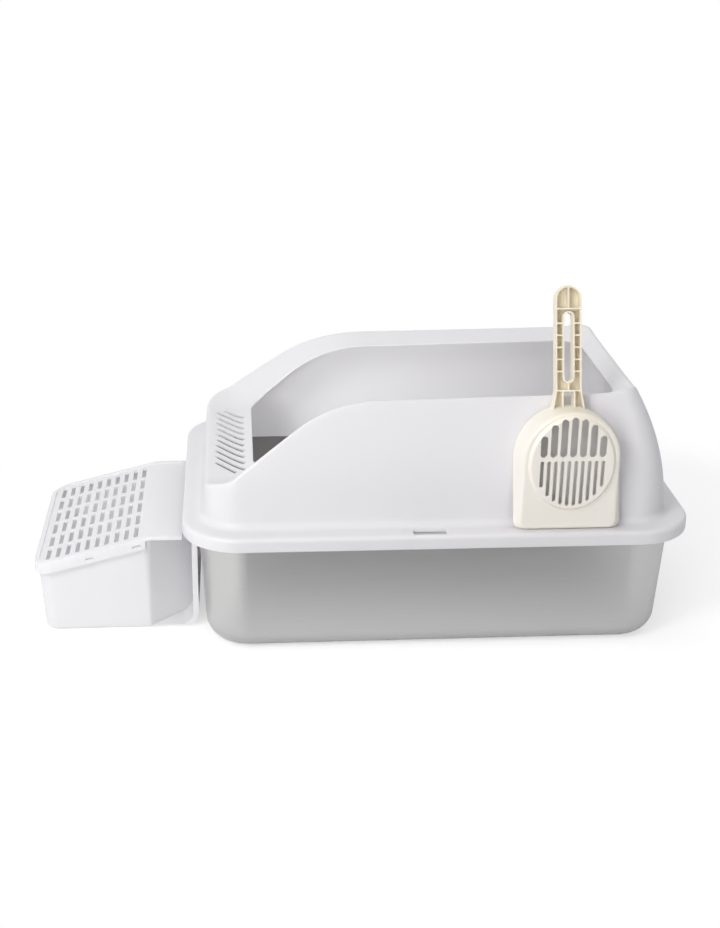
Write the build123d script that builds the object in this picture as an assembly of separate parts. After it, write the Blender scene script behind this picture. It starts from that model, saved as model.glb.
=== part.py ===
from build123d import *
import math
import os

# Cat litter box with a hood, a step beside the entry and a slotted scoop.
# Origin at the middle of the pan's underside, X along the box, Z up, entry at -X.

# Gap left between pieces that rest on each other
REST_GAP = 0.3

# Pan, pressed from steel sheet
PAN_RIM_LENGTH = 600
PAN_RIM_WIDTH = 404
PAN_HEIGHT = 159.6
PAN_SHEET = 0.8
PAN_RIM_REACH = 10.5
PAN_TAPER = 9.5
PAN_CORNER = 57
PAN_FLOOR_RADIUS = 28
PAN_HEM_DEPTH = 6
PAN_HEM_SHEET = 2

# Hood flange, which caps the pan's rim, and the skirt that hangs inside the pan
FLANGE_LENGTH = 616
FLANGE_WIDTH = 424
FLANGE_CORNER = 70
FLANGE_TOP = 163
FLANGE_BOTTOM = 146
FLANGE_WALL = 3
FLANGE_EDGE_RADIUS = 5
FLANGE_UNDERSIDE = PAN_HEIGHT + REST_GAP
SKIRT_LENGTH = 562.4
SKIRT_WIDTH = 363
SKIRT_CORNER = 50
SKIRT_WALL = 2.5
SKIRT_BOTTOM = 143
LATCH_SLOT_X = -15.4
LATCH_SLOT_LENGTH = 40
LATCH_SLOT_WIDTH = 14
LATCH_SLOT_Y = 199.7

# Hood walls, arched inwards from their spring lines
HOOD_WALL = 3
HOOD_LEFT = -283
HOOD_RIGHT = 280.4
HOOD_HALF_WIDTH = 182
HOOD_CORNER = 48
HOOD_CORNER_LOSS = 31.5
HOOD_PEAK = 326
HOOD_LEVELS = [175, 190, 215, 240, 265, 290, HOOD_PEAK]
END_SPRING_Z = 160
END_ARCH_RADIUS = 310
SIDE_SPRING_Z = 152.3
SIDE_ARCH_RADIUS = 329.4
FOOT_RADIUS = 9

# Hood roof: a lip that rises outwards all round the opening and dips in an S to the entry
LIP_SLOPE = 0.54
LIP_DROP = 2.5
LIP_REACH = 90
CREST_RADIUS = 5
OPENING_HALF_WIDTH = 115.9
OPENING_LEFT = -221
OPENING_RIGHT = 219.3
OPENING_CORNER = 30
ENTRY_CORNER = 8
ENTRY_Z = 188.5
LIP_Z = 293.5
LIP_RISE = 1.2
LIP_OVERLAP = 20
RAMP_X = -207.1
RAMP_Z = 225.5
RAMP_ANGLE = 40.7
RAMP_FOOT_RADIUS = 20.6
RAMP_HEAD_RADIUS = 161.8
ROUNDED_FROM_X = -236

# Threshold at the entry, with its slanted slits
THRESHOLD_OUTER_Z = 203
THRESHOLD_INNER_Z = 209
SLIT_COUNT = 11
SLIT_PITCH = 20.2
SLIT_WIDTH = 4.7
SLIT_LEFT = -267
SLIT_RIGHT = -231
SLIT_FALL = 59.4
SLIT_LIMIT_Y = 113

# Step lid: a slotted slope that bends into a flat landing
STEP_Y = -2.3
LANDING_Z = 128.9
LANDING_END = -309.3
LID_BEND_X = -350
LID_BEND_RADIUS = 60
LID_LEFT = -491.5
LID_SLOPE_ANGLE = 14.4
LID_HALF_WIDTH = 125.4
LID_CORNER = 26
LID_SHEET = 2.5
LID_SKIRT = 13
LID_SKIRT_END = -354
LID_RIM_WIDTH = 6
LID_RIM_HEIGHT = 1.8
HOLE_COLUMNS = 10
HOLE_ROWS = 6
HOLE_FIRST_X = -474.1
HOLE_PITCH_X = 12
HOLE_PITCH_Y = 38.4
HOLE_SIZE = (5.6, 31)
HOLE_CORNER = 1.2
NOTCH_X = (-422, -365)
NOTCH_DEPTH = 7
NOTCH_SIZE = (10, 2.6)

# Step base: a tapered tray whose sides run in to an end panel beside the pan
BASE_WALL = 2.5
BASE_CORNER = 18
BASE_EDGE_RADIUS = 4
BASE_FLOOR_LEFT = -482.5
BASE_FLOOR_HALF_WIDTH = 111
BASE_TOP_LEFT = -489.5
BASE_TOP_HALF_WIDTH = 122.8
BASE_TOP_Z = 138
BASE_WAIST_X = -351.5
BASE_WAIST_RADII = (4, 14)
BASE_NECK_X = -299
BASE_NECK_HALF_WIDTH = 58.5
PANEL_FACE_X = -291.5
PANEL_DEPTH = 7
PANEL_SHEET = 2.5
PANEL_HALF_WIDTH = 110
PANEL_TOP = 125.4
PANEL_BEND_RADIUS = 18

# Scoop: a slotted dish with a ribbed handle, leaning back on the near wall
SCOOP_X = 149
SCOOP_TIP_Y = -195.7
SCOOP_LEAN = 18
SCOOP_WALL = 2.2
DISH_LENGTH = 147
DISH_RIM_HALF_WIDTH = 64
DISH_FRONT_HALF_WIDTH = 57
DISH_FRONT_LENGTH = 145.5
DISH_TIP_DEPTH = 6
DISH_CORNER = 10
DISH_EDGE_RADIUS = 4
BOSS_Z = 248
BOSS_HALF_WIDTH = 53
BOSS_HALF_HEIGHT = 60
BOSS_BEVEL = 4.5
BOSS_HEIGHT = 4
GRILLE_Z = 250.5
GRILLE_HALF_WIDTH = 43.5
GRILLE_HALF_HEIGHT = 55
WIDE_SLOTS = 7
WIDE_SLOT_PITCH = 11.6
WIDE_SLOT_WIDTH = 8.4
WIDE_SLOT_FOOT = 6.5
FINE_SLOTS = 10
FINE_SLOT_PITCH = 8
FINE_SLOT_WIDTH = 4.4
FINE_SLOT_HEAD = 2
HANDLE_TOP = 286.3
HANDLE_FOOT = 134
HANDLE_WIDTH = 31
HANDLE_DEPTH = 14
HANDLE_WALL = 2
HANDLE_FLARE = 21
GRIP_HOLE = (174, 254.7)
GRIP_HOLE_WIDTH = 10.4
NECK_GAP = (141.7, 161.6)
NECK_GAP_WIDTH = 12
CROSS_RIBS = (163.3, 259.3)
SHORT_RIB_FIRST = 186
SHORT_RIB_PITCH = 14.1
SHORT_RIBS = 5

os.makedirs("parts", exist_ok=True)


def tile(length, width, radius, z, x=0):
    """Rounded rectangle lying flat at height z."""
    return Pos(x, 0, z) * RectangleRounded(length, width, radius)


def pillar(length, width, radius, z, top):
    """Upright block on a rounded rectangle, from z to top."""
    return extrude(tile(length, width, radius, z), top - z)


def block(x, y, z):
    """Box between the given (low, high) pairs."""
    size = [high - low for low, high in (x, y, z)]
    return Pos(*[(low + high) / 2 for low, high in (x, y, z)]) * Box(*size)


def both_sides(shape):
    return shape + mirror(shape, Plane.XZ)


def make_pan():
    wall_length = PAN_RIM_LENGTH - 2 * PAN_RIM_REACH
    wall_width = PAN_RIM_WIDTH - 2 * PAN_RIM_REACH

    def tub(inset, floor_z):
        shrink = 2 * (inset + PAN_TAPER)
        floor_corner = PAN_CORNER - inset - PAN_TAPER / 2
        floor = tile(wall_length - shrink, wall_width - shrink, floor_corner, floor_z)
        top = tile(wall_length - 2 * inset, wall_width - 2 * inset, PAN_CORNER - inset, PAN_HEIGHT)
        body = loft([floor, top])
        return fillet(body.edges().group_by(Axis.Z)[0], PAN_FLOOR_RADIUS - inset)

    def rim(inset, z):
        corner = PAN_CORNER + PAN_RIM_REACH - inset
        return pillar(PAN_RIM_LENGTH - 2 * inset, PAN_RIM_WIDTH - 2 * inset, corner, z, PAN_HEIGHT)

    rolled_edge = rim(0, PAN_HEIGHT - PAN_HEM_DEPTH) - rim(PAN_HEM_SHEET, PAN_HEIGHT - PAN_HEM_DEPTH)
    outside = tub(0, 0) + rim(0, PAN_HEIGHT - PAN_SHEET) + rolled_edge
    return outside - tub(PAN_SHEET, PAN_SHEET)


def arch_inset(z, spring_z, radius):
    """How far an arched wall has come inwards at height z."""
    rise = max(z - spring_z, 0)
    return radius - math.sqrt(radius ** 2 - rise ** 2)


def dome(inset, foot_z):
    """Hood walls as a solid, moved inwards by inset."""
    sections = []
    for z in [foot_z] + HOOD_LEVELS:
        end = arch_inset(z, END_SPRING_Z, END_ARCH_RADIUS)
        side = arch_inset(z, SIDE_SPRING_Z, SIDE_ARCH_RADIUS)
        length = HOOD_RIGHT - HOOD_LEFT - 2 * (inset + end)
        width = 2 * (HOOD_HALF_WIDTH - inset - side)
        arched = max(z - SIDE_SPRING_Z, 0) / (HOOD_PEAK - SIDE_SPRING_Z)
        corner = HOOD_CORNER - inset - HOOD_CORNER_LOSS * arched
        sections.append(tile(length, width, corner, z, (HOOD_RIGHT + HOOD_LEFT) / 2))
    return loft(sections)


def under_roof():
    """Everything below the hood's roof."""
    reach = FLANGE_LENGTH / 2
    rise = math.radians(LIP_RISE)
    run = math.tan(math.radians(RAMP_ANGLE))
    foot = (RAMP_X - (RAMP_Z - ENTRY_Z) / run, ENTRY_Z)
    head = (RAMP_X + (LIP_Z - RAMP_Z) / run, LIP_Z)
    middle = (0, LIP_Z - head[0] * math.tan(rise))
    ramp = FilletPolyline(
        (-reach, ENTRY_Z), foot, head, middle, radius=[RAMP_FOOT_RADIUS, RAMP_HEAD_RADIUS]
    )
    closing = Polyline(middle, (0, 0), (-reach, 0), (-reach, ENTRY_Z))
    profile = Plane.XZ * make_face(ramp + closing)
    outwards = (-LIP_SLOPE * math.sin(rise), 1, LIP_SLOPE * math.cos(rise))
    lip = extrude(Pos(0, OPENING_HALF_WIDTH, 0) * profile, LIP_REACH, dir=outwards)
    ramps = both_sides(lip) + extrude(profile, OPENING_HALF_WIDTH, both=True)

    def funnel_edge(grow):
        length = 2 * (OPENING_RIGHT + grow)
        width = 2 * (OPENING_HALF_WIDTH + grow)
        edge = tile(length, width, OPENING_CORNER + grow, LIP_SLOPE * grow)
        return Pos(0, 0, middle[1]) * Rot(0, -LIP_RISE, 0) * edge

    funnel = loft([funnel_edge(0), funnel_edge(LIP_REACH)], ruled=True)
    half_width = FLANGE_WIDTH / 2
    level_end = block((-LIP_OVERLAP, reach), (-half_width, half_width), (0, HOOD_PEAK)) - funnel
    sill = Polygon(
        (-reach, 0),
        (OPENING_LEFT, 0),
        (OPENING_LEFT, THRESHOLD_INNER_Z),
        (HOOD_LEFT, THRESHOLD_OUTER_Z),
        (-reach, THRESHOLD_OUTER_Z),
        align=None,
    )
    return ramps + level_end + extrude(Plane.XZ * sill, half_width, both=True)


def round_crest(body):
    """Round the edge where the walls meet the lip."""
    faces = body.faces()
    walls = faces.filter_by(lambda f: f.geom_type == GeomType.BSPLINE and f.normal_at(f.center()).Z < 0.8)
    lips = faces.filter_by(lambda f: f.normal_at(f.center()).Z > 0.5)
    lip_edges = ShapeList(edge for face in lips if face not in walls for edge in face.edges())
    return fillet(walls.edges().filter_by(lambda e: e in lip_edges), CREST_RADIUS)


def slit_cutter(index):
    """One slanted slit, cut off at the ends of the slitted band."""
    middle_y = (index - (SLIT_COUNT - 1) / 2) * SLIT_PITCH
    across = SLIT_RIGHT - SLIT_LEFT
    middle_x = (SLIT_LEFT + SLIT_RIGHT) / 2
    start = max(-0.5, (middle_y - SLIT_LIMIT_Y) / SLIT_FALL)
    end = min(0.5, (middle_y + SLIT_LIMIT_Y) / SLIT_FALL)
    centre = (start + end) / 2
    length = (end - start) * math.hypot(across, SLIT_FALL)
    slot = Rot(0, 0, -math.degrees(math.atan2(SLIT_FALL, across))) * SlotOverall(length, SLIT_WIDTH)
    place = Pos(middle_x + centre * across, middle_y - centre * SLIT_FALL, FLANGE_TOP)
    return extrude(place * slot, HOOD_PEAK - FLANGE_TOP)


def make_hood():
    roof = under_roof()
    left, right, side = HOOD_LEFT - 1, HOOD_RIGHT + 1, HOOD_HALF_WIDTH + 1
    outside = dome(0, FLANGE_UNDERSIDE) & roof
    tall = (0, HOOD_PEAK)
    main = round_crest(outside & block((ROUNDED_FROM_X, right), (-side, side), tall))
    entry = outside & block((left, ROUNDED_FROM_X), (-side, side), tall)
    inside = dome(HOOD_WALL, SKIRT_BOTTOM) & Pos(0, 0, -LIP_DROP) * roof

    cap = pillar(FLANGE_LENGTH, FLANGE_WIDTH, FLANGE_CORNER, FLANGE_BOTTOM, FLANGE_TOP)
    cap = fillet(cap.edges().group_by(Axis.Z)[-1], FLANGE_EDGE_RADIUS)
    thin = 2 * FLANGE_WALL
    hollow = (FLANGE_LENGTH - thin, FLANGE_WIDTH - thin, FLANGE_CORNER - FLANGE_WALL)
    cap -= pillar(*hollow, FLANGE_BOTTOM, FLANGE_UNDERSIDE)
    middle = Pos((HOOD_LEFT + HOOD_RIGHT) / 2, 0, 0)
    skirt = pillar(SKIRT_LENGTH, SKIRT_WIDTH, SKIRT_CORNER, SKIRT_BOTTOM, FLANGE_TOP)
    outside = main + entry + cap + middle * skirt
    foot = outside.edges().filter_by(
        lambda e: abs(e.center().Z - FLANGE_TOP) < 0.01
        and abs(e.center().X) < FLANGE_LENGTH / 2 - FLANGE_EDGE_RADIUS - 1
        and abs(e.center().Y) < HOOD_HALF_WIDTH + 1
    )
    outside = fillet(foot, FOOT_RADIUS)

    thin = 2 * SKIRT_WALL
    throat = (SKIRT_LENGTH - thin, SKIRT_WIDTH - thin, SKIRT_CORNER - SKIRT_WALL)
    opening_middle = (OPENING_LEFT + OPENING_RIGHT) / 2
    opening = Pos(opening_middle, 0) * Rectangle(OPENING_RIGHT - OPENING_LEFT, 2 * OPENING_HALF_WIDTH)
    opening = fillet(opening.vertices().group_by(Axis.X)[0], ENTRY_CORNER)
    opening = fillet(opening.vertices().group_by(Axis.X)[-1], OPENING_CORNER)
    opening = extrude(Pos(0, 0, FLANGE_TOP) * opening, HOOD_PEAK)
    hood = outside - inside - middle * pillar(*throat, SKIRT_BOTTOM, FLANGE_TOP) - opening
    latch_slot = block(
        (LATCH_SLOT_X - LATCH_SLOT_LENGTH / 2, LATCH_SLOT_X + LATCH_SLOT_LENGTH / 2),
        (LATCH_SLOT_Y - LATCH_SLOT_WIDTH / 2, LATCH_SLOT_Y + LATCH_SLOT_WIDTH / 2),
        (FLANGE_BOTTOM, FLANGE_TOP + 1),
    )
    return hood - both_sides(latch_slot) - [slit_cutter(index) for index in range(SLIT_COUNT)]


def lid_profile(drop, depth, right=LANDING_END):
    """Solid below the lid's top surface, lowered by drop and carried down by depth."""
    fall = (LID_BEND_X - LID_LEFT) * math.tan(math.radians(LID_SLOPE_ANGLE))
    top = FilletPolyline(
        (LID_LEFT, LANDING_Z - fall - drop),
        (LID_BEND_X, LANDING_Z - drop),
        (right, LANDING_Z - drop),
        radius=LID_BEND_RADIUS,
    )
    closing = Polyline(
        (right, LANDING_Z - drop),
        (right, LANDING_Z - drop - depth),
        (LID_BEND_X, LANDING_Z - drop - depth),
        (LID_LEFT, LANDING_Z - fall - drop - depth),
        (LID_LEFT, LANDING_Z - fall - drop),
    )
    return extrude(Plane.XZ * make_face(top + closing), LID_HALF_WIDTH, both=True)


def lid_plan(inset, right):
    """Upright block on the lid's outline, rounded at the outer corners."""
    left = LID_LEFT + inset
    outline = Pos((left + right) / 2, 0) * Rectangle(right - left, 2 * (LID_HALF_WIDTH - inset))
    outline = fillet(outline.vertices().group_by(Axis.X)[0], LID_CORNER - inset)
    return extrude(outline, 2 * LANDING_Z)


def make_lid():
    sheet = lid_profile(0, LID_SHEET) & lid_plan(0, LANDING_END)
    skirt = (lid_profile(0, LID_SKIRT) & lid_plan(0, LID_SKIRT_END)) - lid_plan(LID_SHEET, LID_SKIRT_END)
    rim = lid_profile(-LID_RIM_HEIGHT, LID_SHEET) & lid_plan(0, LANDING_END)
    rim -= lid_plan(LID_RIM_WIDTH, LANDING_END)
    lid = sheet + skirt + rim
    hole = extrude(RectangleRounded(*HOLE_SIZE, HOLE_CORNER), 2 * LANDING_Z)
    holes = []
    for column in range(HOLE_COLUMNS):
        for row in range(HOLE_ROWS):
            y = (row - (HOLE_ROWS - 1) / 2) * HOLE_PITCH_Y
            holes.append(Pos(HOLE_FIRST_X + column * HOLE_PITCH_X, y, 0) * hole)
    slope = math.tan(math.radians(LID_SLOPE_ANGLE))
    notches = []
    for x in NOTCH_X:
        z = LANDING_Z + (x - LID_BEND_X) * slope - NOTCH_DEPTH
        notch = Rot(0, -LID_SLOPE_ANGLE, 0) * Box(NOTCH_SIZE[0], 2 * LID_HALF_WIDTH + 1, NOTCH_SIZE[1])
        notches.append(Pos(x, 0, z) * notch)
    inside = lid_plan(LID_SHEET, LID_SKIRT_END)
    return lid - holes - [notch - inside for notch in notches]


def make_base():
    def tray_outline(left, half_width, waist_radius, inset, z):
        points = [
            (left, -half_width),
            (BASE_WAIST_X, -half_width),
            (BASE_NECK_X, -BASE_NECK_HALF_WIDTH),
            (BASE_NECK_X, BASE_NECK_HALF_WIDTH),
            (BASE_WAIST_X, half_width),
            (left, half_width),
        ]
        outline = Polygon(*points, align=None)
        outline = fillet(outline.vertices().group_by(Axis.X)[0], BASE_CORNER)
        waist = outline.vertices().filter_by_position(Axis.X, BASE_WAIST_X, BASE_WAIST_X)
        outline = fillet(waist, waist_radius)
        return Pos(0, 0, z) * (offset(outline, -inset) if inset else outline)

    def tray(inset, floor_z):
        floor_radius, top_radius = BASE_WAIST_RADII
        floor = tray_outline(BASE_FLOOR_LEFT, BASE_FLOOR_HALF_WIDTH, floor_radius, inset, floor_z)
        top = tray_outline(BASE_TOP_LEFT, BASE_TOP_HALF_WIDTH, top_radius, inset, BASE_TOP_Z)
        return loft([floor, top], ruled=True)

    body = tray(0, 0)
    floor_edges = body.edges().group_by(Axis.Z)[0]
    body = fillet(floor_edges.filter_by(lambda e: e.center().X < BASE_WAIST_X), BASE_EDGE_RADIUS)
    corner = (PANEL_FACE_X, 0)
    inner_corner = (PANEL_FACE_X - PANEL_DEPTH, BASE_WALL)
    bracket = Polygon(
        (BASE_WAIST_X, 0),
        corner,
        (PANEL_FACE_X, PANEL_TOP),
        (PANEL_FACE_X - PANEL_DEPTH, PANEL_TOP),
        inner_corner,
        (BASE_WAIST_X, BASE_WALL),
        align=None,
    )
    vertices = bracket.vertices()
    bracket = fillet(vertices.sort_by_distance(corner)[0], PANEL_BEND_RADIUS)
    bracket = fillet(bracket.vertices().sort_by_distance(inner_corner)[0], PANEL_BEND_RADIUS - BASE_WALL)
    bracket = extrude(Plane.XZ * bracket, PANEL_HALF_WIDTH, both=True)
    recess_half_width = PANEL_HALF_WIDTH - PANEL_SHEET
    recess = block(
        (PANEL_FACE_X - PANEL_DEPTH + PANEL_SHEET, PANEL_FACE_X + 1),
        (-recess_half_width, recess_half_width),
        (PANEL_BEND_RADIUS, PANEL_TOP - PANEL_SHEET),
    )
    below_lid = lid_profile(LID_SHEET + REST_GAP, 2 * LANDING_Z, PANEL_FACE_X)
    return ((body + bracket - recess) - tray(BASE_WALL, BASE_WALL)) & below_lid


def dish_outline(half_width, length, inset):
    """Straight-footed, round-headed outline of the dish, upright."""
    straight = length - half_width
    width = 2 * (half_width - inset)
    outline = Pos(0, (straight + inset) / 2) * Rectangle(width, straight - inset)
    outline += Pos(0, straight) * Circle(half_width - inset)
    return Plane.XZ * fillet(outline.vertices().group_by(Axis.Y)[0], DISH_CORNER - inset)


def dish_body(inset):
    """Dish as a solid between its rim and its slanting front plate, moved inwards by inset."""
    rim = dish_outline(DISH_RIM_HALF_WIDTH, DISH_LENGTH, inset)
    front = dish_outline(DISH_FRONT_HALF_WIDTH, DISH_FRONT_LENGTH, inset)
    front = Pos(0, inset - DISH_TIP_DEPTH, 0) * Rot(SCOOP_LEAN, 0, 0) * front
    return loft([rim, front], ruled=True)


def handle_body():
    """Channel-shaped handle, open towards the viewer, with its ribs and grip hole."""
    half = HANDLE_WIDTH / 2
    neck_top, rib_top = CROSS_RIBS
    shaft = Polygon(
        (-HANDLE_FLARE, HANDLE_FOOT),
        (HANDLE_FLARE, HANDLE_FOOT),
        (half, neck_top),
        (half, HANDLE_TOP - half),
        (-half, HANDLE_TOP - half),
        (-half, neck_top),
        align=None,
    )
    outline = shaft + Pos(0, HANDLE_TOP - half) * Circle(half)

    def upright(sketch, floor=0):
        return Pos(0, -floor, 0) * extrude(Plane.XZ * sketch, HANDLE_DEPTH - floor)

    def grip(grow):
        low, high = GRIP_HOLE
        slot = SlotOverall(high - low + 2 * grow, GRIP_HOLE_WIDTH + 2 * grow)
        return upright(Pos(0, (low + high) / 2) * Rot(0, 0, 90) * slot)

    def bar(x, z):
        (x_low, x_high), (z_low, z_high) = x, z
        return block((x_low, x_high), (-HANDLE_DEPTH, 0), (z_low, z_high))

    body = upright(outline) - upright(offset(outline, -HANDLE_WALL), HANDLE_WALL)
    body += grip(HANDLE_WALL)
    thick = HANDLE_WALL / 2
    short_ribs = [SHORT_RIB_FIRST + index * SHORT_RIB_PITCH for index in range(SHORT_RIBS)]
    for z in list(CROSS_RIBS) + short_ribs:
        body += bar((-half + thick, half - thick), (z - thick, z + thick))
    body += bar((-thick, thick), (rib_top, HANDLE_TOP - thick))
    body += bar((-thick, thick), (neck_top, GRIP_HOLE[0]))
    gap = NECK_GAP_WIDTH / 2
    for side in (-1, 1):
        inner, outer = sorted((side * gap, side * (gap + HANDLE_WALL)))
        body += bar((inner, outer), (HANDLE_FOOT, neck_top))
    return body - grip(0) - bar((-gap, gap), NECK_GAP)


def make_scoop():
    place = Pos(SCOOP_X, SCOOP_TIP_Y, FLANGE_TOP + REST_GAP) * Rot(-SCOOP_LEAN, 0, 0)
    outside = dish_body(0)
    back_edges = outside.faces().filter_by(GeomType.PLANE).sort_by(Axis.Y)[0].edges()
    outside = fillet(back_edges, DISH_EDGE_RADIUS)
    scoop = place * ((outside + handle_body()) - dish_body(SCOOP_WALL))
    back_y = SCOOP_TIP_Y - DISH_TIP_DEPTH * math.cos(math.radians(SCOOP_LEAN))

    def boss(inset, y, height):
        def oval(grow, oval_y):
            shape = Ellipse(BOSS_HALF_WIDTH + grow, BOSS_HALF_HEIGHT + grow)
            return Pos(SCOOP_X, oval_y, BOSS_Z) * (Plane.XZ * shape)

        return loft([oval(-inset, y), oval(-inset - BOSS_BEVEL, y - height)], ruled=True)

    scoop += boss(0, back_y + 1, BOSS_HEIGHT + 1)
    scoop -= boss(SCOOP_WALL, back_y + SCOOP_WALL + 1, BOSS_HEIGHT + 1)

    def reach(x):
        return GRILLE_HALF_HEIGHT * math.sqrt(1 - (x / GRILLE_HALF_WIDTH) ** 2)

    def slot(x, width, low, high):
        shape = Rot(0, 0, 90) * SlotOverall(high - low, width)
        start = Pos(SCOOP_X + x, back_y + 3 * SCOOP_WALL, GRILLE_Z + (low + high) / 2)
        return extrude(start * (Plane.XZ * shape), 4 * BOSS_HEIGHT)

    slots = []
    for index in range(WIDE_SLOTS):
        x = (index - (WIDE_SLOTS - 1) / 2) * WIDE_SLOT_PITCH
        slots.append(slot(x, WIDE_SLOT_WIDTH, WIDE_SLOT_FOOT, reach(x)))
    for index in range(FINE_SLOTS):
        x = (index - (FINE_SLOTS - 1) / 2) * FINE_SLOT_PITCH
        slots.append(slot(x, FINE_SLOT_WIDTH, -reach(x), FINE_SLOT_HEAD))
    return scoop - slots


def export(name, shape):
    print(name, round(shape.volume), shape.is_valid, len(shape.solids()))
    export_step(shape, f"parts/{name}.step")


if __name__ == "__main__":
    export("litter_pan", make_pan())
    export("hood", make_hood())
    export("step_base", Pos(0, STEP_Y, 0) * make_base())
    export("step_lid", Pos(0, STEP_Y, 0) * make_lid())
    export("scoop", make_scoop())
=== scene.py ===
import math

import bpy
import numpy as np
from mathutils import Matrix, Vector


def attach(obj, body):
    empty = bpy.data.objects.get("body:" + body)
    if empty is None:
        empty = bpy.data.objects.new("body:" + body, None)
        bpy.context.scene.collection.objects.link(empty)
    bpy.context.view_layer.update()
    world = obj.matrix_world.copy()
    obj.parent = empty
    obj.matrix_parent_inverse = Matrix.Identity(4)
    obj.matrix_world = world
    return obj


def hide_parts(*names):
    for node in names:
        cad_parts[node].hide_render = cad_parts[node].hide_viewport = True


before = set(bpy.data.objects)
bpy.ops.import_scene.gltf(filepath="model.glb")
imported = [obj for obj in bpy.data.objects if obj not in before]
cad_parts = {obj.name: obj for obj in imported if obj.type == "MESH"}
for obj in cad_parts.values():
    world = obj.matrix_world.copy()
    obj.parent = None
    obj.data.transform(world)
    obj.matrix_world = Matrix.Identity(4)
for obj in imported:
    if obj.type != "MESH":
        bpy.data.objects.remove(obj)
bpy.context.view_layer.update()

# Camera: metres, millimetres of lens and degrees
CAMERA_PLACE = (-0.2393, -1.8069, 0.8968)
CAMERA_SENSOR = 36
CAMERA_LENS = 58.41
CAMERA_PITCH = 21.818
CAMERA_YAW = 4.976
CAMERA_ROLL = 0.924

# Hood, in millimetres as in the CAD
FLANGE = (308, 212, 70)
FLANGE_TOP = 163
FLANGE_BOTTOM = 146
FLANGE_WALL = 3
FLANGE_ROUNDING = 5
FLANGE_UNDERSIDE = 159.9
SKIRT = (-282.5, 279.9, 181.5, 50)
SKIRT_WALL = 2.5
SKIRT_TOP = 161
SKIRT_BOTTOM = 143
HOOD_WALL = 3
HOOD_LEFT = -283
HOOD_RIGHT = 280.4
HOOD_HALF_WIDTH = 182
HOOD_CORNER = 48
HOOD_CORNER_LOSS = 31.5
HOOD_PEAK = 326
END_ARCH = (160, 310)
SIDE_ARCH = (152.3, 329.4)
FOOT_RADIUS = 9
LIP_SLOPE = 0.54
LIP_SHEET = 2.5
LIP_Z = 293.5
LIP_RISE = math.radians(1.2)
OPENING = (-221, 219.3, 115.9)
OPENING_CORNERS = (24, 30)
RAMP_POINT = (-207.1, 225.5)
RAMP_ANGLE = math.radians(40.7)
RAMP_FOOT_Z = 188.5
RAMP_FOOT_RADIUS = 20.6
RAMP_HEAD_RADIUS = 161.8
THRESHOLD_Z = (203, 209)
BLEND = 16
CREST = 6
SLIT_COUNT = 11
SLIT_PITCH = 20.2
SLIT_WIDTH = 4.7
SLIT_X = (-267, -231)
SLIT_FALL = 59.4
SLIT_LIMIT_Y = 113
SLIT_CUT_Z = (190, 230)
LATCH_SLOT = ((-35.1, 4.3), (192.7, 206.7))
LATCH_CUT_Z = (150, 170)

# Small roundings of the hood's edges, and how far the threshold's slope runs on past its ends
EDGE_ROUNDING = 0.8
LIP_EDGE = 1
LIP_EDGE_TURN = ((0.7, 0.15), (1, EDGE_ROUNDING))
THRESHOLD_REACH = (-0.2, 1.2)

# Fineness of the hood's mesh: points round it, and rows of them
SIDE_STATIONS = 150
END_STATIONS = 60
CORNER_STATIONS = 24
FLANGE_SIDE_Z = (150, 154)
FLANGE_TOP_SHARES = (0.33, 0.67)
ROUNDING_ROWS = 7
FOOT_ROWS = 8
WALL_ROWS = 29
CREST_ROWS = 8
LIP_ROWS = 14
UNDER_LIP_ROWS = 8
INNER_WALL_ROWS = 15
SLIT_END_POINTS = 9
SHARP_ANGLE = math.radians(38)
WALL_TOP_LOWEST = 170
HALVINGS = 40

# Plastics and steel: roughness, noise and bump. A plastic's rise, above which it takes on the deeper
# colour of a painted bounce light, is in metres, and the default rise (10 to 11 m) is above
# everything, so there it paints no bounce
PLASTIC_ROUGHNESS = (0.33, 0.43)
CLOUD = {"Scale": 7, "Detail": 3}
CLOUD_SHARE = 0.3
GRAIN = {"Scale": 900, "Detail": 2}
GRAIN_STRENGTH = 0.04
NO_PAINTED_BOUNCE = (10, 11)
STEEL_TONES = ((0.60, 0.595, 0.59), (0.66, 0.655, 0.65))
STEEL_ROUGHNESS = (0.30, 0.40)
STEEL_STRETCH = (4, 4, 260)
STEEL_LINES = {"Scale": 3, "Detail": 4}
STEEL_STRENGTH = 0.03
BUMP_DISTANCE = 0.0005

# Ground, in metres: what lights the object, what the camera sees, and what the steel mirrors
FLOOR_SIZE = 12
FLOOR_Z = -0.0004
FLOOR_PALE = (0.92, 0.92, 0.93)
# Painted shade: a dark patch on the floor in front of the pan, which the camera does not see, for the
# steel to mirror as a darker reflection
FLOOR_PAINTED_DARK = (0.33, 0.33, 0.34)
PAINTED_DARK_HALF_WIDTH = (0.22, 0.34)
PAINTED_DARK_FRONT = (-0.2, -0.42)
SHADOW_BASE = 0.5
SHADOW_CATCH = (0.66, 0.66, 0.67, 1)
SHADOW_REACH = (0.6, 0.75)
# Painted highlight: left of these places the floor glows white to mirror rays, giving the steel its
# bright left corner
PAINTED_HIGHLIGHT_LEFT = (-0.36, -0.24)

# Surrounding light, which is weakest from in front
WORLD_COLOUR = (0.99, 0.985, 1, 1)
WORLD_FRONT = (0.35, -0.94, 0)
WORLD_BACK_TO_FRONT = (0.74, 0.36)
WHITE = (1, 1, 1, 1)
CAMERA_RAYS = ["Is Camera Ray"]
MIRROR_RAYS = ["Is Glossy Ray", "Is Transmission Ray"]
LAMP_TARGET = (0, 0, 0.15)
WIDE_SPREAD = 180


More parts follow.
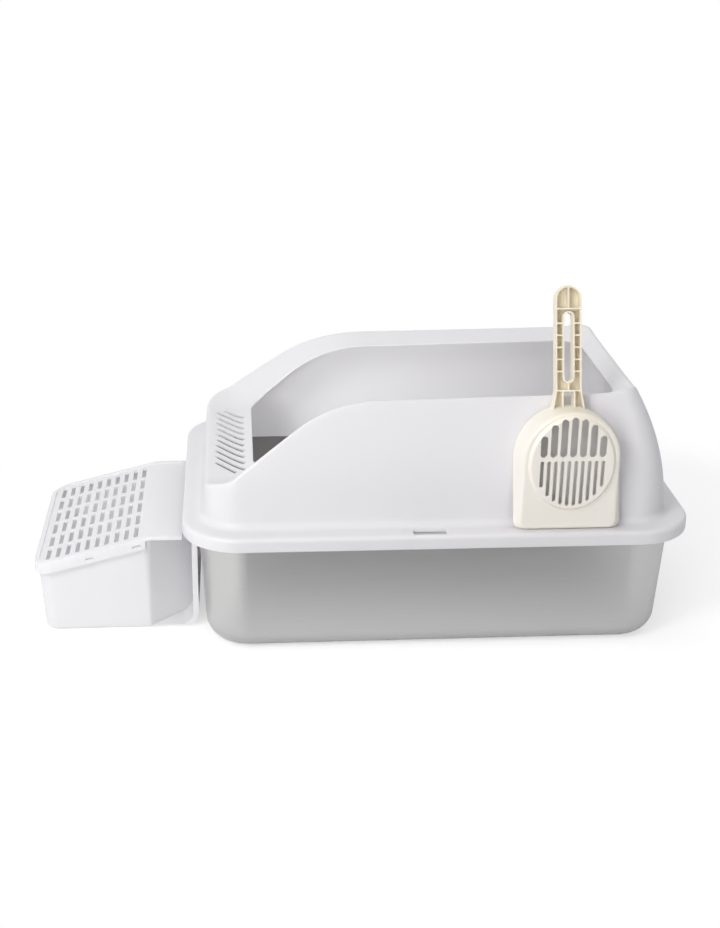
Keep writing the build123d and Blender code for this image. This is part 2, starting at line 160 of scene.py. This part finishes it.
def stations(side, end, corner):
    """Places round the hood's outline: share along X, share along Y, and facing."""
    x, y, angle = [], [], []

    def add(count, x_from, x_to, y_from, y_to, a_from, a_to):
        share = np.arange(count) / count
        x.append(x_from + (x_to - x_from) * share)
        y.append(y_from + (y_to - y_from) * share)
        angle.append(np.radians(a_from + (a_to - a_from) * share))

    add(side, 0, 1, 0, 0, -90, -90)
    add(corner, 1, 1, 0, 0, -90, 0)
    add(end, 1, 1, 0, 1, 0, 0)
    add(corner, 1, 1, 1, 1, 0, 90)
    add(side, 1, 0, 1, 1, 90, 90)
    add(corner, 0, 0, 1, 1, 90, 180)
    add(end, 0, 0, 1, 0, 180, 180)
    add(corner, 0, 0, 0, 0, 180, 270)
    return np.concatenate(x), np.concatenate(y), np.concatenate(angle)


AROUND = stations(SIDE_STATIONS, END_STATIONS, CORNER_STATIONS)
STATION_COUNT = len(AROUND[0])


def ring(left, right, half_width, corner_left, corner_right):
    """Rounded rectangle seen from above, one point for each station."""
    share_x, share_y, angle = AROUND
    corner = np.where(share_x < 0.5, corner_left, corner_right)
    start = left + corner_left
    x = start + (right - corner_right - start) * share_x + corner * np.cos(angle)
    y = (half_width - corner) * (2 * share_y - 1) + corner * np.sin(angle)
    return x, y


def flange_ring(inset):
    length, width, corner = FLANGE
    return ring(inset - length, length - inset, width - inset, corner - inset, corner - inset)


def skirt_ring(inset):
    left, right, width, corner = SKIRT
    return ring(left + inset, right - inset, width - inset, corner - inset, corner - inset)


def arch_inset(z, arch):
    """How far an arched wall has come inwards at height z."""
    spring_z, radius = arch
    painted_bounce_rise = np.clip(z - spring_z, 0, radius)
    return radius - np.sqrt(radius ** 2 - painted_bounce_rise ** 2)


def wall_ring(z, inset):
    """Hood wall at height z, which may differ from station to station."""
    end = arch_inset(z, END_ARCH) + inset
    side = arch_inset(z, SIDE_ARCH) + inset
    spring_z = SIDE_ARCH[0]
    arched = np.maximum(z - spring_z, 0) / (HOOD_PEAK - spring_z)
    corner = HOOD_CORNER - inset - HOOD_CORNER_LOSS * arched
    return ring(HOOD_LEFT + end, HOOD_RIGHT - end, HOOD_HALF_WIDTH - side, corner, corner)


def opening_edge():
    return np.stack(ring(*OPENING, *OPENING_CORNERS), 1)


def ramp_height(x):
    """Height of the opening's long edges: low at the entry, an S-shaped rise, then nearly level."""
    run = math.tan(RAMP_ANGLE)
    foot_x = RAMP_POINT[0] - (RAMP_POINT[1] - RAMP_FOOT_Z) / run
    head_x = RAMP_POINT[0] + (LIP_Z - RAMP_POINT[1]) / run
    foot_reach = RAMP_FOOT_RADIUS * math.tan(RAMP_ANGLE / 2)
    head_reach = RAMP_HEAD_RADIUS * math.tan((RAMP_ANGLE - LIP_RISE) / 2)
    foot_start = foot_x - foot_reach
    head_end = head_x + head_reach * math.cos(LIP_RISE)
    centre_x = head_end + RAMP_HEAD_RADIUS * math.sin(LIP_RISE)
    head_end_z = LIP_Z + head_reach * math.sin(LIP_RISE)
    centre_z = head_end_z - RAMP_HEAD_RADIUS * math.cos(LIP_RISE)
    foot_arc = np.clip(RAMP_FOOT_RADIUS ** 2 - (x - foot_start) ** 2, 0, None)
    head_arc = np.clip(RAMP_HEAD_RADIUS ** 2 - (x - centre_x) ** 2, 0, None)
    height = RAMP_POINT[1] + (x - RAMP_POINT[0]) * run
    foot_end = foot_x + foot_reach * math.cos(RAMP_ANGLE)
    head_start = head_x - head_reach * math.cos(RAMP_ANGLE)
    height = np.where(x < foot_end, RAMP_FOOT_Z + RAMP_FOOT_RADIUS - np.sqrt(foot_arc), height)
    height = np.where(x < foot_start, RAMP_FOOT_Z, height)
    height = np.where(x > head_start, centre_z + np.sqrt(head_arc), height)
    return np.where(x > head_end, head_end_z + (x - head_end) * math.tan(LIP_RISE), height)


def roof_height(x, y):
    """Top of the hood: the lip, which rises away from the opening, blended into the threshold."""
    left, right, half_width = OPENING
    corner = OPENING_CORNERS[1]
    past_x, past_y = x - right + corner, np.abs(y) - half_width + corner
    past_corner = np.hypot(np.maximum(past_x, 0), np.maximum(past_y, 0)) - corner
    past_edge = np.maximum(past_x, past_y) - corner
    beyond = np.where((past_x > 0) & (past_y > 0), past_corner, past_edge)
    lip = ramp_height(x) + LIP_SLOPE * np.maximum(beyond, 0)
    outer, inner = THRESHOLD_Z
    inwards = np.clip((x - HOOD_LEFT) / (left - HOOD_LEFT), *THRESHOLD_REACH)
    threshold = outer + (inner - outer) * inwards
    share = np.clip(0.5 + 0.5 * (threshold - lip) / BLEND, 0, 1)
    return lip + (threshold - lip) * share + BLEND * share * (1 - share)


def wall_top(inset, drop):
    """Height at which the wall meets the roof, for each station, found by halving."""
    low = np.full(STATION_COUNT, float(WALL_TOP_LOWEST))
    high = np.full(STATION_COUNT, float(HOOD_PEAK))
    for _ in range(HALVINGS):
        middle = (low + high) / 2
        below = roof_height(*wall_ring(middle, inset)) - drop > middle
        low, high = np.where(below, middle, low), np.where(below, high, middle)
    return low


def quarter_turn(count):
    return np.radians(np.linspace(0, 90, count))


def steps(count):
    """Shares of the way after 0, up to 1."""
    return np.linspace(0, 1, count + 1)[1:]


def row(outline, z):
    """Row of points round the hood, at one height or a height for each."""
    x, y = outline
    return np.stack([x, y, np.broadcast_to(z, x.shape)], 1)


def flange_rows():
    """Outside, from the flange's lower edge to the foot of the wall."""
    rows = [
        row(flange_ring(FLANGE_WALL), FLANGE_BOTTOM + EDGE_ROUNDING),
        row(flange_ring(FLANGE_WALL - EDGE_ROUNDING), FLANGE_BOTTOM),
        row(flange_ring(EDGE_ROUNDING), FLANGE_BOTTOM),
    ]
    for z in (FLANGE_BOTTOM + EDGE_ROUNDING, *FLANGE_SIDE_Z):
        rows.append(row(flange_ring(0), z))
    for turn in quarter_turn(ROUNDING_ROWS):
        inset = FLANGE_ROUNDING * (1 - math.cos(turn))
        rows.append(row(flange_ring(inset), FLANGE_TOP - FLANGE_ROUNDING * (1 - math.sin(turn))))
    edge = flange_ring(FLANGE_ROUNDING)
    foot = wall_ring(np.float64(FLANGE_TOP), -FOOT_RADIUS)
    for share in FLANGE_TOP_SHARES:
        rows.append(row([a + (b - a) * share for a, b in zip(edge, foot)], FLANGE_TOP))
    for turn in quarter_turn(FOOT_ROWS):
        z = FLANGE_TOP + FOOT_RADIUS * (1 - math.cos(turn))
        rows.append(row(wall_ring(np.float64(z), -FOOT_RADIUS * (1 - math.sin(turn))), z))
    return rows


def wall_and_lip_rows():
    """Outside, up the wall, over its rounded crest and down the lip to the opening."""
    rows = []
    top = wall_top(0, 0)
    start = FLANGE_TOP + FOOT_RADIUS
    for share in steps(WALL_ROWS):
        z = start + (top - CREST - start) * share
        rows.append(row(wall_ring(z, 0), z))
    crest = row(wall_ring(top, 0), top)
    inwards = opening_edge() - crest[:, :2]
    length = np.linalg.norm(inwards, axis=1, keepdims=True)
    inwards = inwards / length

    def lip_row(distance):
        plan = crest[:, :2] + inwards * distance
        return np.column_stack([plan, roof_height(plan[:, 0], plan[:, 1])])

    wall_end, lip_start = rows[-1], lip_row(np.full_like(length, CREST))
    for share in steps(CREST_ROWS):
        rest = 1 - share
        rows.append(rest ** 2 * wall_end + 2 * share * rest * crest + share ** 2 * lip_start)
    for share in steps(LIP_ROWS):
        rows.append(lip_row(CREST + (length - CREST - LIP_EDGE) * share))
    return rows


def lip_edge_rows(lip_end):
    """Rounded edge of the lip, turned down from its top and up again from its underside."""
    edge = np.column_stack([opening_edge(), lip_end[:, 2]])
    under = [(share, LIP_SHEET - fall) for share, fall in reversed(LIP_EDGE_TURN)]
    rows = []
    for share, fall in (*LIP_EDGE_TURN, *under):
        rows.append(lip_end + (edge - lip_end) * share - np.array([0, 0, fall]))
    return rows


def inner_rows(lip_end):
    """Inside, from the lip's underside down the wall and the skirt, and out under the flange."""
    rows = []
    top = wall_top(HOOD_WALL, LIP_SHEET)
    wall_start = np.stack(wall_ring(top, HOOD_WALL), 1)
    for share in np.linspace(0, 1, UNDER_LIP_ROWS):
        x, y = (lip_end[:, :2] + (wall_start - lip_end[:, :2]) * share).T
        rows.append(row((x, y), roof_height(x, y) - LIP_SHEET))
    for share in steps(INNER_WALL_ROWS):
        z = top + (FLANGE_TOP - top) * share
        rows.append(row(wall_ring(z, HOOD_WALL), z))
    return rows + [
        row(skirt_ring(SKIRT_WALL), SKIRT_TOP),
        row(skirt_ring(SKIRT_WALL), SKIRT_BOTTOM),
        row(skirt_ring(0), SKIRT_BOTTOM),
        row(skirt_ring(0), FLANGE_UNDERSIDE),
        row(flange_ring(FLANGE_WALL), FLANGE_UNDERSIDE),
    ]


def hood_rows():
    """Closed section of the hood as rows of points round it."""
    rows = flange_rows() + wall_and_lip_rows()
    lip_end = rows[-1]
    return rows + lip_edge_rows(lip_end) + inner_rows(lip_end)


def new_object(name, points, faces):
    """Mesh object from millimetre points."""
    mesh = bpy.data.meshes.new(name)
    mesh.from_pydata([tuple(point) for point in np.asarray(points) / 1000], [], faces)
    mesh.update()
    thing = bpy.data.objects.new(name, mesh)
    bpy.context.collection.objects.link(thing)
    return thing


def prism(outline, bottom, top):
    """Points and faces of an upright prism on a counterclockwise outline."""
    count = len(outline)
    points = [(x, y, z) for z in (bottom, top) for x, y in outline]
    faces = [tuple(reversed(range(count))), tuple(range(count, 2 * count))]
    for index in range(count):
        after = (index + 1) % count
        faces.append((index, after, count + after, count + index))
    return points, faces


def slit_outline(index):
    """One slanted slit of the threshold, round at both ends and kept within its limit."""
    step = np.array([SLIT_X[1] - SLIT_X[0], -SLIT_FALL])
    along = step / math.hypot(*step)
    sideways = np.array([-along[1], along[0]])
    middle = np.array([sum(SLIT_X) / 2, (index - (SLIT_COUNT - 1) / 2) * SLIT_PITCH])
    start = max(-0.5, (middle[1] - SLIT_LIMIT_Y) / SLIT_FALL)
    end = min(0.5, (middle[1] + SLIT_LIMIT_Y) / SLIT_FALL)
    radius = SLIT_WIDTH / 2
    outline = []
    for share, inwards, turn in ((end, -1, -90), (start, 1, 90)):
        centre = middle + step * share + along * radius * inwards
        for angle in np.radians(np.linspace(turn, turn + 180, SLIT_END_POINTS)):
            outline.append(centre + radius * (along * math.cos(angle) + sideways * math.sin(angle)))
    return outline


def hood_cutter():
    """Slits of the threshold and slots of the flange, as one mesh."""
    prisms = [prism(slit_outline(index), *SLIT_CUT_Z) for index in range(SLIT_COUNT)]
    (left, right), (low, high) = LATCH_SLOT
    for near, far in ((-high, -low), (low, high)):
        outline = [(left, near), (right, near), (right, far), (left, far)]
        prisms.append(prism(outline, *LATCH_CUT_Z))
    points, faces = [], []
    for more_points, more_faces in prisms:
        faces += [tuple(len(points) + corner for corner in face) for face in more_faces]
        points += more_points
    return new_object("hood_cutter", points, faces)


def make_hood():
    """Hood as one closed mesh, with its slits and slots cut through."""
    rows = hood_rows()
    faces = []
    for place in range(len(rows)):
        below = place * STATION_COUNT
        above = (place + 1) % len(rows) * STATION_COUNT
        for index in range(STATION_COUNT):
            after = (index + 1) % STATION_COUNT
            faces.append((below + index, below + after, above + after, above + index))
    hood = new_object("hood_shell", np.concatenate(rows), faces)
    cutter = hood_cutter()
    cut = hood.modifiers.new("cut", "BOOLEAN")
    cut.object = cutter
    cut.operation = "DIFFERENCE"
    cut.solver = "EXACT"
    shape = bpy.data.meshes.new_from_object(hood.evaluated_get(bpy.context.evaluated_depsgraph_get()))
    hood.modifiers.clear()
    hood.data = shape
    bpy.data.objects.remove(cutter)
    shape.polygons.foreach_set("use_smooth", [True] * len(shape.polygons))
    shape.set_sharp_from_angle(angle=SHARP_ANGLE)
    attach(hood, "hood")
    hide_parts("hood")
    return hood


def new_material(name):
    material = bpy.data.materials.new(name)
    material.use_nodes = True
    material.node_tree.nodes.clear()
    return material, material.node_tree


def add_node(tree, kind, inputs, **settings):
    """New shader node, with its settings, and its inputs given a value or linked to an output."""
    node = tree.nodes.new("ShaderNode" + kind)
    for name, value in settings.items():
        setattr(node, name, value)
    for name, value in inputs.items():
        if isinstance(value, bpy.types.NodeSocket):
            tree.links.new(value, node.inputs[name])
        else:
            node.inputs[name].default_value = value
    return node.outputs


def calculate(tree, operation, *terms, **settings):
    inputs = dict(enumerate(terms))
    return add_node(tree, "Math", inputs, operation=operation, **settings)["Value"]


def ramp(tree, value, places, results, change="SMOOTHSTEP"):
    """Change from the first result to the second between two places."""
    names = ("From Min", "From Max", "To Min", "To Max")
    inputs = dict(zip(names, (*places, *results)), Value=value)
    return add_node(tree, "MapRange", inputs, interpolation_type=change)["Result"]


def mix_colours(tree, share, first, second):
    inputs = {"Factor": share, "A": (*first, 1), "B": (*second, 1)}
    return add_node(tree, "Mix", inputs, data_type="RGBA")["Result"]


def mix_shaders(tree, share, first, second):
    return add_node(tree, "MixShader", {"Fac": share, 1: first, 2: second})["Shader"]


def noise(tree, vector, fineness):
    return add_node(tree, "TexNoise", {"Vector": vector, **fineness})["Fac"]


def bump(tree, height, strength):
    inputs = {"Height": height, "Strength": strength, "Distance": BUMP_DISTANCE}
    return add_node(tree, "Bump", inputs)["Normal"]


def plastic(name, colour, mottle_and_painted_bounce_colour, through, painted_bounce_rise=NO_PAINTED_BOUNCE):
    """Moulded plastic that lets some light through, with a random mottle towards its second, deeper
    colour; above a rise it turns wholly to that colour, a painted bounce light.
    """
    material, tree = new_material(name)
    place = add_node(tree, "TexCoord", {})["Object"]
    cloud = noise(tree, place, CLOUD)
    # Painted bounce light: share of the deeper colour, from 0 below the rise to 1 above it; the cloud
    # noise adds a random mottle on top
    level = ramp(tree, add_node(tree, "SeparateXYZ", {"Vector": place})["Z"], painted_bounce_rise, (0, 1))
    mottle_and_painted_bounce = calculate(tree, "MULTIPLY_ADD", cloud, CLOUD_SHARE, level, use_clamp=True)
    tone = mix_colours(tree, mottle_and_painted_bounce, colour, mottle_and_painted_bounce_colour)
    surface = {
        "Base Color": tone,
        "Roughness": ramp(tree, cloud, (0, 1), PLASTIC_ROUGHNESS, "LINEAR"),
        "Normal": bump(tree, noise(tree, place, GRAIN), GRAIN_STRENGTH),
    }
    solid = add_node(tree, "BsdfPrincipled", surface)["BSDF"]
    glow = add_node(tree, "BsdfTranslucent", {"Color": tone})["BSDF"]
    body = mix_shaders(tree, through, solid, glow)
    add_node(tree, "OutputMaterial", {"Surface": body})
    return material


def steel(name):
    """Satin drawn sheet with a faint lengthwise grain."""
    material, tree = new_material(name)
    place = add_node(tree, "TexCoord", {})["Object"]
    stretched = add_node(tree, "Mapping", {"Vector": place, "Scale": STEEL_STRETCH})["Vector"]
    lines = noise(tree, stretched, STEEL_LINES)
    surface = {
        "Metallic": 1,
        "Base Color": mix_colours(tree, lines, *STEEL_TONES),
        "Roughness": ramp(tree, lines, (0, 1), STEEL_ROUGHNESS, "LINEAR"),
        "Normal": bump(tree, lines, STEEL_STRENGTH),
    }
    shader = add_node(tree, "BsdfPrincipled", surface)["BSDF"]
    add_node(tree, "OutputMaterial", {"Surface": shader})
    return material


def show_to_rays(tree, rays, shown, otherwise):
    """One shader for the named rays, and the other for everything else."""
    path = add_node(tree, "LightPath", {})
    share = path[rays[0]]
    for ray in rays[1:]:
        share = calculate(tree, "MAXIMUM", share, path[ray])
    return mix_shaders(tree, share, otherwise, shown)


def lit_ground(tree, axes):
    """Ground as it lights the object and as the steel mirrors it: pale, with a painted dark patch in
    front of the pan that gives the steel a darker reflection.
    """
    across = ramp(tree, calculate(tree, "ABSOLUTE", axes["X"]), PAINTED_DARK_HALF_WIDTH, (1, 0))
    ahead = ramp(tree, axes["Y"], PAINTED_DARK_FRONT, (0, 1))
    shade = calculate(tree, "MULTIPLY", across, ahead)
    tone = mix_colours(tree, shade, FLOOR_PALE, FLOOR_PAINTED_DARK)
    return add_node(tree, "BsdfDiffuse", {"Color": tone})["BSDF"]


def seen_ground(tree, place, bright):
    """Ground as the camera sees it: white far off, and with the object's soft shadow near it."""
    base = add_node(tree, "Emission", {"Strength": SHADOW_BASE})["Emission"]
    catch = add_node(tree, "BsdfDiffuse", {"Color": SHADOW_CATCH})["BSDF"]
    near = add_node(tree, "AddShader", {0: base, 1: catch})["Shader"]
    distance = add_node(tree, "VectorMath", {0: place}, operation="LENGTH")["Value"]
    return mix_shaders(tree, ramp(tree, distance, SHADOW_REACH, (0, 1)), near, bright)


def make_floor():
    """Floor, white to the camera with the object's soft shadow; to mirror rays it glows white only to
    the left of the object, a painted highlight on the steel's left corner, and elsewhere shows the
    lit ground with its painted dark patch.
    """
    bpy.ops.mesh.primitive_plane_add(size=FLOOR_SIZE, location=(0, 0, FLOOR_Z))
    floor = bpy.context.object
    floor.name = "floor"
    material, tree = new_material("floor_white_painted_reflections")
    place = add_node(tree, "TexCoord", {})["Object"]
    axes = add_node(tree, "SeparateXYZ", {"Vector": place})
    bright = add_node(tree, "Emission", {"Strength": 1})["Emission"]
    lit = lit_ground(tree, axes)
    # Painted highlight: a white glow that only mirror rays see, to the left of the object
    mirrored = mix_shaders(tree, ramp(tree, axes["X"], PAINTED_HIGHLIGHT_LEFT, (0, 1)), bright, lit)
    ground = show_to_rays(tree, MIRROR_RAYS, mirrored, lit)
    ground = show_to_rays(tree, CAMERA_RAYS, seen_ground(tree, place, bright), ground)
    add_node(tree, "OutputMaterial", {"Surface": ground})
    floor.data.materials.append(material)


def make_world():
    """White to the camera and to mirrors, and a soft light on everything else."""
    world = bpy.data.worlds.new("studio")
    bpy.context.scene.world = world
    world.use_nodes = True
    tree = world.node_tree
    tree.nodes.clear()
    place = add_node(tree, "TexCoord", {})["Generated"]
    towards = {0: place, 1: WORLD_FRONT}
    facing = add_node(tree, "VectorMath", towards, operation="DOT_PRODUCT")["Value"]
    level = ramp(tree, facing, (-1, 1), WORLD_BACK_TO_FRONT)
    lit = add_node(tree, "Background", {"Color": WORLD_COLOUR, "Strength": level})["Background"]
    bright = add_node(tree, "Background", {"Color": WHITE, "Strength": 1})["Background"]
    around = show_to_rays(tree, CAMERA_RAYS + MIRROR_RAYS, bright, lit)
    add_node(tree, "OutputWorld", {"Surface": around})


def area_light(name, place, size, power, target=LAMP_TARGET, spread=WIDE_SPREAD, mirrored=True):
    """Lamp that the camera does not see, in metres, watts and degrees."""
    data = bpy.data.lights.new(name, "AREA")
    data.shape = "RECTANGLE"
    data.size, data.size_y = size
    data.energy = power
    data.spread = math.radians(spread)
    light = bpy.data.objects.new(name, data)
    light.location = place
    aim = Vector(target) - Vector(place)
    light.rotation_euler = aim.to_track_quat("-Z", "Y").to_euler()
    light.visible_camera = False
    light.visible_glossy = mirrored
    bpy.context.collection.objects.link(light)


def make_lights():
    """Three lamps around the object, and one within the pan that lights the hood from inside."""
    area_light("key", place=(-1.35, -1.5, 1.75), size=(0.8, 0.8), power=20)
    area_light("front", place=(-1.0, -2.2, 0.7), size=(0.7, 0.5), power=13.5)
    area_light("top", place=(-0.3, 0, 2.3), size=(1.4, 1.4), power=6.5, target=(-0.1, 0, 0.15))
    area_light(
        "inside",
        place=(-0.02, -0.145, 0.12),
        size=(0.38, 0.04),
        power=0.22,
        target=(-0.02, 0.17, 0.19),
        spread=100,
        mirrored=False,
    )


def make_camera():
    """Camera at the photograph's viewing angle."""
    data = bpy.data.cameras.new("camera")
    data.sensor_width = CAMERA_SENSOR
    data.lens = CAMERA_LENS
    camera = bpy.data.objects.new("camera", data)
    camera.location = CAMERA_PLACE
    turn = Matrix.Rotation(math.radians(-CAMERA_YAW), 3, "Z")
    turn @= Matrix.Rotation(math.radians(90 - CAMERA_PITCH), 3, "X")
    turn @= Matrix.Rotation(math.radians(CAMERA_ROLL), 3, "Z")
    camera.rotation_euler = turn.to_euler()
    bpy.context.collection.objects.link(camera)
    bpy.context.scene.camera = camera


def make_materials():
    """Material of each piece, by its node in model.glb."""
    white = plastic("white_satin", (0.88, 0.872, 0.888), (0.86, 0.852, 0.868), through=0.16)
    thin_white = plastic("thin_white", (0.97, 0.965, 0.975), (0.93, 0.925, 0.935), through=0.36)
    # Cream turns deeper yellow above 0.28 m, on the scoop's handle: a painted bounce light that
    # stands in for light bounced between the handle's ribs
    cream = plastic(
        "cream_satin_painted_bounce", (0.98, 0.94, 0.87), (0.97, 0.9, 0.74), through=0.08, painted_bounce_rise=(0.28, 0.33)
    )
    return {
        "hood": white,
        "litter_pan": steel("satin_steel"),
        "step_base": thin_white,
        "step_lid": thin_white,
        "scoop": cream,
    }


materials = make_materials()
make_hood().data.materials.append(materials.pop("hood"))
for node, material in materials.items():
    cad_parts[node].material_slots[0].material = material

make_floor()
make_world()
make_lights()
make_camera()
bpy.context.scene.view_settings.view_transform = "Standard"
